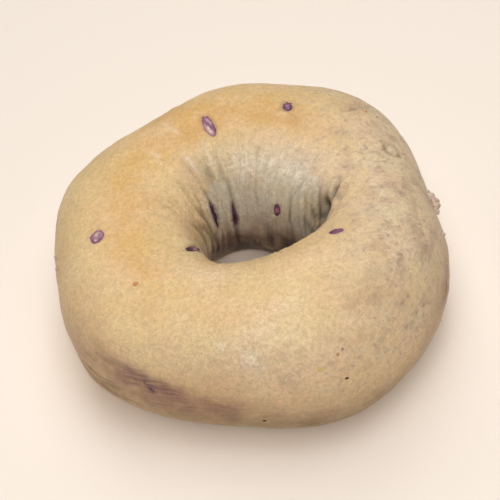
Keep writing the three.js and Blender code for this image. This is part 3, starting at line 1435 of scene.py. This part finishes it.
@dataclass
class Blueberries:
    """The berries that show at the skin, each a thin wrinkled lens lying in its pit."""

    crust: Crust
    finish: bpy.types.Material
    rings: int = 14
    spokes: int = 44
    thickness: float = 0.9
    reach: float = 0.56  # how far a lens runs from its middle, as a share of the opening's size
    probe: float = 6.0  # how high over a point the search for the skin starts, in mm
    dome: float = 0.26  # how high a berry's middle stands over its pit, in mm
    dome_width: float = 2.4  # a berry narrower than this, in mm, is flatter
    tucked_edge: float = 0.12  # how far a berry's edge is tucked down, in mm
    wrinkle: float = 0.08  # how deep the wrinkles are, in mm
    first_seed: int = 100
    tree: BVHTree = field(init=False)

    def build(self) -> list[bpy.types.Object]:
        """Makes every berry.

        Returns:
            The berries' pieces.
        """
        skin = self.crust.piece.data
        corners = [v.co / MM for v in skin.vertices]
        self.tree = BVHTree.FromPolygons(corners, [tuple(p.vertices) for p in skin.polygons])
        return [self.berry(berry, seed) for seed, berry in enumerate(BERRIES)]

    def berry(self, berry: Berry, seed: int) -> bpy.types.Object:
        """Makes one berry to lie in its pit.

        Args:
            berry: which berry it is.
            seed: which pattern its outline and wrinkles take.

        Returns:
            The berry's piece.
        """
        grain = Grain(self.first_seed + seed)
        ring = self.crust.ring
        side, front, out = berry_axes(ring, berry)
        centre = ring.place(*np.radians(berry.spot))
        share = np.linspace(0.0, 1.0, self.rings + 1)[1:, None]
        spoke = np.linspace(0.0, 2.0 * np.pi, self.spokes, endpoint=False)[None, :]
        circle = np.stack([np.cos(spoke), np.sin(spoke), 0.0 * spoke], axis=-1)
        ragged = berry.outline.value
        wobble = 1.0 + ragged * grain.at(circle * 1.7) + 0.7 * ragged * grain.at(circle * 4.0 + 9.0)
        ratio = np.append(0.0, share * np.ones_like(spoke))
        long_way = np.append(0.0, share * wobble * np.sin(spoke)) * self.reach * berry.length
        wide_way = np.append(0.0, share * wobble * np.cos(spoke)) * self.reach * berry.width
        flat = centre + long_way[:, None] * front + wide_way[:, None] * side
        ground = np.array([self.height_over(point, out) for point in flat])
        wrinkle = grain.at(np.stack([wide_way * 2.6, long_way * 0.8, ratio], axis=-1))
        crown = self.dome * (1.0 - ratio**2) * min(1.0, berry.width / self.dome_width)
        dome = crown - self.tucked_edge * ratio**6
        lift = ground + dome + self.wrinkle * wrinkle * (1.0 - ratio**3)
        points = flat + lift[:, None] * out
        bottom = centre + (ground[0] - self.thickness) * out
        faces = capped_faces(self.rings, self.spokes)
        piece = solid(berry.name, np.vstack([points, bottom]), faces, self.finish)
        plane = np.stack([np.append(wide_way, 0.0), np.append(long_way, 0.0)], axis=-1)
        self.dress(piece, berry, np.append(ratio, 1.0), plane)
        return join_ride(piece)

    def height_over(self, point: np.ndarray, out: np.ndarray) -> float:
        """Finds the worked skin over a point.

        Args:
            point: the point, in mm.
            out: the direction to look along.

        Returns:
            How far above the point the skin lies, in mm.
        """
        start = Vector(point + self.probe * out)
        drop = self.tree.ray_cast(start, Vector(-out))[3]
        return self.probe - drop if drop is not None else 0.0

    def dress(self, piece: bpy.types.Object, berry: Berry, ratio: np.ndarray, plane: np.ndarray) -> None:
        """Paints a berry's tone.

        Args:
            piece: the berry's piece.
            berry: which berry it is.
            ratio: how near to the edge each vertex is, from 0 to 1.
            plane: each vertex's place across and along the berry, in mm.
        """
        across, along = plane[:, 0] / (0.5 * berry.width), plane[:, 1] / (0.5 * berry.length)
        tone = berry.tone + (berry.edge_tone - berry.tone) * ease(0.55, 0.95, ratio)
        for mark in berry.marks:
            away = ((across - mark.across) / mark.wide) ** 2 + ((along - mark.along) / mark.long) ** 2
            tone = tone + (mark.tone - tone) * np.exp(-away)
        paint(piece, "tone", np.clip(tone, 0.0, 1.0))


# ---------------------------------------------------------------------------------------------------
# Specks
# ---------------------------------------------------------------------------------------------------


@dataclass(frozen=True)
class Speck:
    """One speck that is plain to see, by its place, its size across and its colour."""

    spot: Spot
    size: float
    tint: Colour


# the specks that are plain to see
SPECKS = (
    Speck((-93.2, -16.0), 1.0, (0.035, 0.02, 0.02)),
    Speck((-69.6, 19.4), 0.8, (0.05, 0.035, 0.025)),
    Speck((-144.6, 79.6), 1.4, (0.62, 0.27, 0.09)),
    Speck((-76.0, 34.3), 1.1, (0.78, 0.52, 0.13)),
    Speck((-70.0, 39.0), 0.9, (0.55, 0.28, 0.08)),
    Speck((-69.0, 40.5), 0.7, (0.30, 0.22, 0.20)),
    Speck((36.6, 55.0), 0.8, (0.62, 0.20, 0.05)),
    Speck((33.3, 50.0), 0.85, (0.44, 0.25, 0.11)),
    Speck((-128.0, 16.0), 0.6, (0.16, 0.10, 0.06)),
    Speck((82.0, 24.0), 0.9, (0.05, 0.03, 0.03)),
    Speck((170.0, -20.0), 0.9, (0.45, 0.20, 0.06)),
    Speck((40.0, -30.0), 0.8, (0.06, 0.04, 0.04)),
)
# the browns that the tiny ones take
BROWNS = ((0.42, 0.22, 0.10), (0.30, 0.15, 0.14), (0.62, 0.40, 0.18), (0.20, 0.11, 0.10))


class TreeSketch:
    """A tree of nodes that grows a shape, drawn node by node."""

    def __init__(self, name: str, sizes: dict[str, tuple[str, float]]) -> None:
        """Starts a tree with a geometry going in and out.

        Args:
            name: the tree's name.
            sizes: each named input's kind and value, after the geometry.
        """
        self.tree = bpy.data.node_groups.new(name, "GeometryNodeTree")
        self.values = {}
        self.tree.interface.new_socket("Geometry", in_out="INPUT", socket_type="NodeSocketGeometry")
        for label, (kind, value) in sizes.items():
            socket = self.tree.interface.new_socket(label, in_out="INPUT", socket_type=kind)
            self.values[socket.identifier] = value
        self.tree.interface.new_socket("Geometry", in_out="OUTPUT", socket_type="NodeSocketGeometry")
        self.given = self.tree.nodes.new("NodeGroupInput").outputs
        self.result = self.tree.nodes.new("NodeGroupOutput").inputs[0]

    def add(self, kind: str, feeds: dict[str | int, object], **settings: object) -> bpy.types.Node:
        """Adds a node.

        Args:
            kind: the kind of node.
            feeds: an output or a plain value for each input, by the input's name or number.
            settings: the node's own settings, by name.

        Returns:
            The new node.
        """
        node = self.tree.nodes.new(kind)
        for name, value in settings.items():
            setattr(node, name, value)
        for name, value in feeds.items():
            if isinstance(value, bpy.types.NodeSocket):
                self.tree.links.new(value, node.inputs[name])
            else:
                node.inputs[name].default_value = value
        return node

    def grow(self, name: str, carrier: bpy.types.Mesh) -> bpy.types.Object:
        """Runs the tree on a mesh.

        Args:
            name: the new object's name.
            carrier: the mesh that the tree starts from.

        Returns:
            What has grown, as a plain mesh object.
        """
        seat = bpy.data.objects.new(name + "_seat", carrier)
        bpy.context.scene.collection.objects.link(seat)
        modifier = seat.modifiers.new(name, "NODES")
        modifier.node_group = self.tree
        for identifier, value in self.values.items():
            modifier[identifier] = value
        graph = bpy.context.evaluated_depsgraph_get()
        mesh = bpy.data.meshes.new_from_object(seat.evaluated_get(graph), depsgraph=graph)
        seat.modifiers.remove(modifier)
        bpy.data.objects.remove(seat)
        piece = bpy.data.objects.new(name, mesh)
        bpy.context.scene.collection.objects.link(piece)
        return piece


@dataclass
class Specks:
    """Specks of bran, berry and char baked onto the skin: the plain ones listed, the rest scattered."""

    crust: Crust
    finish: bpy.types.Material
    low_turn: float = -75.0  # between which turns, in degrees, the tiny specks are strewn
    high_turn: float = 150.0
    scattered: int = 90
    finest: float = 0.14
    coarsest: float = 0.26
    flatness: float = 0.45
    narrowest: float = 0.7
    widest: float = 1.5
    spin_seed: int = 5
    seed: int = 11

    def build(self) -> bpy.types.Object:
        """Makes all the specks.

        Returns:
            The one piece that holds them.
        """
        seats = self.seats()
        return join_ride(self.drawn_tree().grow("baked_specks", seats))

    def drawn_tree(self) -> TreeSketch:
        """Draws the tree that grows a flat grain, turned and stretched, on each of a mesh's points.

        Returns:
            The tree, ready to run.
        """
        sizes = {
            "Flatness": ("NodeSocketFloat", self.flatness),
            "Narrowest": ("NodeSocketFloat", self.narrowest),
            "Widest": ("NodeSocketFloat", self.widest),
            "Seed": ("NodeSocketInt", self.spin_seed),
        }
        sketch = TreeSketch("speck_tree", sizes)
        given = sketch.given
        grain = sketch.add("GeometryNodeMeshIcoSphere", {"Radius": 0.5 * MM, "Subdivisions": 2})
        size = sketch.add("GeometryNodeInputNamedAttribute", {"Name": "size"}, data_type="FLOAT")
        outward = sketch.add(
            "GeometryNodeInputNamedAttribute", {"Name": "outward"}, data_type="FLOAT_VECTOR"
        )
        spin = sketch.add(
            "FunctionNodeRandomValue",
            {"Min": 0.0, "Max": 6.28, "Seed": given["Seed"]},
            data_type="FLOAT",
        )
        stretch = sketch.add(
            "FunctionNodeRandomValue",
            {"Min": given["Narrowest"], "Max": given["Widest"], "Seed": given["Seed"]},
            data_type="FLOAT",
        )
        upright = sketch.add(
            "FunctionNodeAlignRotationToVector", {"Vector": outward.outputs["Attribute"]}, axis="Z"
        )
        twist = sketch.add("FunctionNodeAxisAngleToRotation", {"Angle": spin.outputs["Value"]})
        turn = sketch.add(
            "FunctionNodeRotateRotation",
            {"Rotation": upright.outputs["Rotation"], "Rotate By": twist.outputs["Rotation"]},
            rotation_space="LOCAL",
        )
        shape = sketch.add(
            "ShaderNodeCombineXYZ", {"X": stretch.outputs["Value"], "Y": 1.0, "Z": given["Flatness"]}
        )
        scale = sketch.add(
            "ShaderNodeVectorMath",
            {0: shape.outputs[0], "Scale": size.outputs["Attribute"]},
            operation="SCALE",
        )
        placed = sketch.add(
            "GeometryNodeInstanceOnPoints",
            {
                "Points": given["Geometry"],
                "Instance": grain.outputs["Mesh"],
                "Rotation": turn.outputs["Rotation"],
                "Scale": scale.outputs["Vector"],
            },
        )
        real = sketch.add("GeometryNodeRealizeInstances", {"Geometry": placed.outputs["Instances"]})
        dressed = sketch.add(
            "GeometryNodeSetMaterial", {"Geometry": real.outputs["Geometry"], "Material": self.finish}
        )
        sketch.tree.links.new(dressed.outputs["Geometry"], sketch.result)
        return sketch

    def seats(self) -> bpy.types.Mesh:
        """Seats the specks on the worked skin.

        Returns:
            A mesh of their points, each with its size, its colour and its way out.
        """
        rng = np.random.default_rng(self.seed)
        spots = [speck.spot for speck in SPECKS]
        sizes = [speck.size for speck in SPECKS]
        tints = [speck.tint for speck in SPECKS]
        for _ in range(self.scattered):
            spots.append((rng.uniform(-180.0, 180.0), rng.uniform(self.low_turn, self.high_turn)))
            sizes.append(rng.uniform(self.finest, self.coarsest))
            tints.append(BROWNS[rng.integers(len(BROWNS))])
        crust = self.crust
        angle, turn = np.radians(np.array(spots)).T
        s = np.round(angle / (2.0 * np.pi) * crust.ring.stations).astype(int) % crust.ring.stations
        t = np.round(turn / (2.0 * np.pi) * crust.ring.turns).astype(int) % crust.ring.turns
        mesh = bpy.data.meshes.new("speck_seats")
        mesh.from_pydata((crust.worked[s, t] * MM).tolist(), [], [])
        opaque = np.hstack([np.array(tints), np.ones((len(tints), 1))])
        layers = (
            ("size", "FLOAT", "value", np.array(sizes)),
            ("outward", "FLOAT_VECTOR", "vector", crust.outward[s, t]),
            ("tint", "FLOAT_COLOR", "color", opaque),
        )
        for name, kind, slot, amounts in layers:
            layer = mesh.attributes.new(name, kind, "POINT")
            layer.data.foreach_set(slot, amounts.astype(np.float32).ravel())
        return mesh


# ---------------------------------------------------------------------------------------------------
# Frayed skin
# ---------------------------------------------------------------------------------------------------


@dataclass(frozen=True)
class Shred:
    """A shred of torn skin, by its place, its length, its width and how far it stands out, in mm."""

    spot: Spot
    length: float
    width: float
    proud: float


SHREDS = (
    Shred((4.2, 31.6), 2.6, 1.7, 0.5),
    Shred((2.2, 31.0), 3.0, 2.0, 1.1),
    Shred((0.4, 30.2), 3.2, 2.1, 1.7),
    Shred((-1.4, 29.4), 3.0, 2.0, 1.6),
    Shred((-3.2, 28.4), 2.6, 1.6, 0.8),
    Shred((0.5, 33.5), 3.0, 2.0, 0.3),
    Shred((-11.0, 23.5), 1.3, 0.9, 0.5),
    Shred((-18.5, 12.0), 1.1, 0.8, 0.35),
    Shred((-22.5, 4.5), 1.2, 0.8, 0.4),
    Shred((-26.5, -5.5), 1.0, 0.8, 0.35),
    Shred((-30.5, -13.0), 1.1, 0.9, 0.4),
    Shred((178.0, 30.0), 1.3, 1.0, 0.45),
    Shred((-178.5, 26.5), 1.1, 0.8, 0.35),
)


@dataclass
class Frays:
    """Ragged shreds of skin that were torn up where the ring touched its neighbour in the oven."""

    crust: Crust
    finish: bpy.types.Material
    rings: int = 12
    spokes: int = 20
    root: float = 0.4  # half of the height that a shred has beyond what it stands out, in mm
    sunk: float = 0.35  # how far a shred is let down into the skin, in mm
    first_seed: int = 400

    def build(self) -> bpy.types.Object:
        """Makes all the shreds.

        Returns:
            The one piece that holds them.
        """
        corners = [self.shred(shred, Grain(self.first_seed + n)) for n, shred in enumerate(SHREDS)]
        own = capped_faces(self.rings - 1, self.spokes)
        bases = range(0, len(corners) * len(corners[0]), len(corners[0]))
        faces = [tuple(base + corner for corner in face) for base in bases for face in own]
        return join_ride(solid("skin_shreds", np.vstack(corners), faces, self.finish))

    def shred(self, shred: Shred, grain: Grain) -> np.ndarray:
        """One shred: a lumpy body standing on the skin.

        Args:
            shred: which shred it is.
            grain: the pattern of its lumps.

        Returns:
            Its vertices, in mm.
        """
        ring = self.crust.ring
        spot = np.radians(shred.spot)
        centre, (side, up, out) = ring.place(*spot), ring.tangents(*spot)
        tilt = np.linspace(0.0, np.pi, self.rings + 1)[1:-1, None]
        spin = np.linspace(0.0, 2.0 * np.pi, self.spokes, endpoint=False)[None, :]
        across, level = np.sin(tilt) * np.cos(spin), np.cos(tilt) * np.ones_like(spin)
        belly = np.stack([across, np.sin(tilt) * np.sin(spin), level], axis=-1).reshape(-1, 3)
        ball = np.vstack([[0.0, 0.0, 1.0], belly, [0.0, 0.0, -1.0]])
        lumps = 1.0 + 0.45 * grain.at(ball * 1.5) + 0.3 * grain.at(ball * 3.4 + 5.0)
        size = np.array([0.5 * shred.width, 0.5 * shred.length, 0.5 * shred.proud + self.root])
        shape = ball * lumps[:, None] * size
        shape[:, 2] += 0.5 * shred.proud - self.sunk
        return centre + shape[:, :1] * side + shape[:, 1:2] * up + shape[:, 2:] * out


# ---------------------------------------------------------------------------------------------------
# The studio
# ---------------------------------------------------------------------------------------------------


@dataclass(frozen=True)
class Lamp:
    """A soft square light, by where it stands round the bagel, its size in metres and its power."""

    name: str
    azimuth: float
    elevation: float
    distance: float
    size: float
    power: float

    def build(self) -> None:
        """Hangs the light, facing the bagel."""
        light = bpy.data.lights.new(self.name, "AREA")
        light.shape = "SQUARE"
        light.size = self.size
        light.energy = self.power
        piece = bpy.data.objects.new(self.name, light)
        bpy.context.scene.collection.objects.link(piece)
        around, up = math.radians(self.azimuth), math.radians(self.elevation)
        way = Vector((math.sin(around) * math.cos(up), -math.cos(around) * math.cos(up), math.sin(up)))
        piece.location = way * self.distance
        piece.rotation_euler = way.to_track_quat("Z", "Y").to_euler()


@dataclass
class Studio:
    """The pale floor, the soft lights, the light of the room, and the camera."""

    floor: bpy.types.Material
    floor_width: float = 5000.0
    floor_gap: float = 0.02
    elevation: float = 48.6
    roll: float = -9.1
    distance: float = 496.0
    lens: float = 126.0
    film: float = 36.0
    aim: tuple[float, float, float] = (0.8, 0.2, 22.3)
    slip: tuple[float, float] = (1.8, 1.4)
    slip_steps: float = 500.0  # how many steps of slip make up the view's width
    room: Colour = (1.0, 0.96, 0.90)
    room_strength: float = 0.02
    lamps: tuple[Lamp, ...] = (
        Lamp("overhead_front", 0.0, 75.0, 1.0, 0.6, 2.8),
        Lamp("overhead_right", 90.0, 75.0, 1.0, 0.6, 1.6),
        Lamp("overhead_back", 180.0, 75.0, 1.0, 0.6, 2.1),
        Lamp("back", 180.0, 48.0, 1.0, 0.6, 1.8),
        Lamp("front", 0.0, 51.0, 1.0, 0.15, 3.1),
        Lamp("back_left_low", 240.0, 20.0, 1.0, 0.6, 0.8),
    )

    def build(self) -> None:
        """Sets up everything round the bagel."""
        self.lay_floor()
        self.fill_room()
        for lamp in self.lamps:
            lamp.build()
        self.stand_camera()
        bpy.context.scene.view_settings.view_transform = "Standard"

    def lay_floor(self) -> None:
        """Lays the floor a hair below the bagel's underside."""
        half, level = 0.5 * self.floor_width, -self.floor_gap
        corners = [(-half, -half, level), (half, -half, level), (half, half, level), (-half, half, level)]
        solid("floor", np.array(corners), [(0, 1, 2, 3)], self.floor)

    def fill_room(self) -> None:
        """Fills the room with even pale light."""
        world = bpy.data.worlds.new("room")
        world.use_nodes = True
        background = world.node_tree.nodes["Background"]
        background.inputs["Color"].default_value = (*self.room, 1.0)
        background.inputs["Strength"].default_value = self.room_strength
        bpy.context.scene.world = world

    def stand_camera(self) -> None:
        """Stands the camera in front of the bagel, looking down on it."""
        up_angle, roll = math.radians(self.elevation), math.radians(self.roll)
        back = Vector((0.0, -math.cos(up_angle), math.sin(up_angle)))
        side, up = Vector((1.0, 0.0, 0.0)), back.cross(Vector((1.0, 0.0, 0.0)))
        right = side * math.cos(roll) + up * math.sin(roll)
        top = up * math.cos(roll) - side * math.sin(roll)
        per_mm = self.lens / self.film * self.slip_steps / self.distance
        target = Vector(self.aim) - right * (self.slip[0] / per_mm) + top * (self.slip[1] / per_mm)
        camera = bpy.data.objects.new("camera", bpy.data.cameras.new("camera"))
        camera.data.lens, camera.data.sensor_width = self.lens, self.film
        camera.data.clip_start, camera.data.clip_end = 0.01, 20.0
        bpy.context.scene.collection.objects.link(camera)
        stand = Matrix.Translation((target + back * self.distance) * MM)
        camera.matrix_world = stand @ Matrix((right, top, back)).transposed().to_4x4()
        bpy.context.scene.camera = camera


def main() -> None:
    """Builds the studio, and then the bagel with its berries, its specks and its torn shreds of skin."""
    logging.basicConfig(level=logging.INFO, format="%(name)s: %(message)s")
    Studio(StageFinish().material()).build()
    crust = Crust(DoughRing(), CrustFinish().material())
    pieces = [crust.build()]
    pieces += Blueberries(crust, BerryFinish().material()).build()
    pieces.append(Specks(crust, SpeckFinish().material()).build())
    pieces.append(Frays(crust, ShredFinish().material()).build())
    for piece in pieces:
        LOG.info("%s: %d faces", piece.name, len(piece.data.polygons))


if __name__ == "__main__":
    main()
